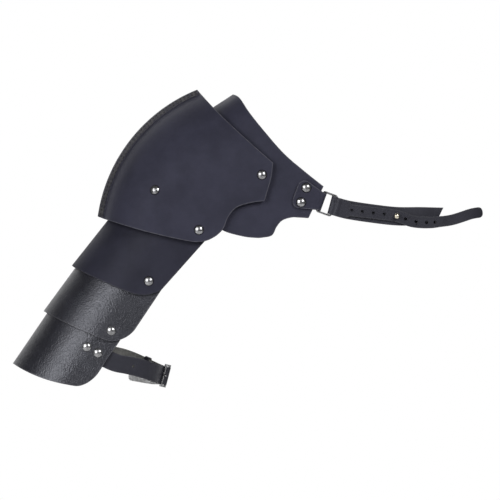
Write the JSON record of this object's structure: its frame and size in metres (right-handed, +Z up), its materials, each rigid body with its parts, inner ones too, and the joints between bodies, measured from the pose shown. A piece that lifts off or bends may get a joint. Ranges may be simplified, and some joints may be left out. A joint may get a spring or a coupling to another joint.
{
  "type": "leather pauldron",
  "caption": "Black leather shoulder armour: a sewn cap over a folded yoke, arm plates that turn on rivets, an arm strap with a buckle and a chest strap on a wire ring.",
  "frame": {"origin": "middle of the wearer's shoulder joint, midway between the front and back plates", "axes": "+X from the arm to the chest, +Y from front to back, +Z up"},
  "size_m": [0.5081, 0.1544, 0.3227],
  "materials": {
    "smooth_leather": "matte",
    "armour_leather": "satin",
    "steel": "polished",
    "brass": "polished"
  },
  "bodies": {
    "cap_and_yoke": {"cap_front_panel": "smooth_leather", "cap_back_panel": "smooth_leather", "yoke": "smooth_leather", "cap_rivets": "steel", "lame_1_pivots": "steel", "front_tab": "smooth_leather", "back_tab": "smooth_leather", "tab_rivets": "steel"},
    "plate_1": {"lame_1": "armour_leather", "lame_2_pivots": "steel"},
    "plate_2": {"lame_2": "armour_leather", "lame_3_pivots": "steel"},
    "plate_3": {"lame_3": "armour_leather", "arm_strap_billet": "smooth_leather", "arm_strap_buckle_side": "smooth_leather", "arm_strap_rivets": "steel", "buckle_frame": "steel"},
    "prong": {"buckle_prong": "steel"},
    "keeper": {"strap_keeper": "smooth_leather"},
    "front_ring": {"front_ring": "steel"},
    "back_ring": {"back_ring": "steel"},
    "chest_strap": {"chest_strap": "smooth_leather", "chest_stud": "brass", "stud_screw": "brass"}
  },
  "joints": [
    {"name": "plate_1_hinge", "type": "hinge", "parent": "cap_and_yoke", "child": "plate_1", "pos_m": [0.02372, 0, -0.00986], "axis": [0, 1, 0], "range_deg": [-12, 1]},
    {"name": "plate_2_hinge", "type": "hinge", "parent": "plate_1", "child": "plate_2", "pos_m": [-0.03044, 0, -0.06506], "axis": [0, 1, 0], "range_deg": [-12, 2]},
    {"name": "plate_3_hinge", "type": "hinge", "parent": "plate_2", "child": "plate_3", "pos_m": [-0.07095, 0, -0.11857], "axis": [0, 1, 0], "range_deg": [-12, 2]},
    {"name": "prong_hinge", "type": "hinge", "parent": "plate_3", "child": "prong", "pos_m": [-0.01469, 0, -0.16719], "axis": [0.2504, 0, 0.9681], "range_deg": [0, 3]},
    {"name": "front_ring_swing", "type": "hinge", "parent": "cap_and_yoke", "child": "front_ring", "pos_m": [0.1547, -0.0667, 0.0212], "axis": [0.342, 0, 0.9397], "range_deg": [-40, 40]},
    {"name": "back_ring_swing", "type": "hinge", "parent": "cap_and_yoke", "child": "back_ring", "pos_m": [0.1547, 0.0667, 0.0212], "axis": [0.342, 0, 0.9397], "range_deg": [-40, 40]},
    {"name": "chest_strap_swing", "type": "hinge", "parent": "front_ring", "child": "chest_strap", "pos_m": [0.16955, -0.0667, 0.0158], "axis": [0.342, 0, 0.9397], "range_deg": [-40, 40]},
    {"name": "keeper_slide", "type": "slide", "parent": "plate_3", "child": "keeper", "axis": [0.6856, -0.6553, -0.3171], "range_m": [-0.0015, 0.0015]}
  ]
}
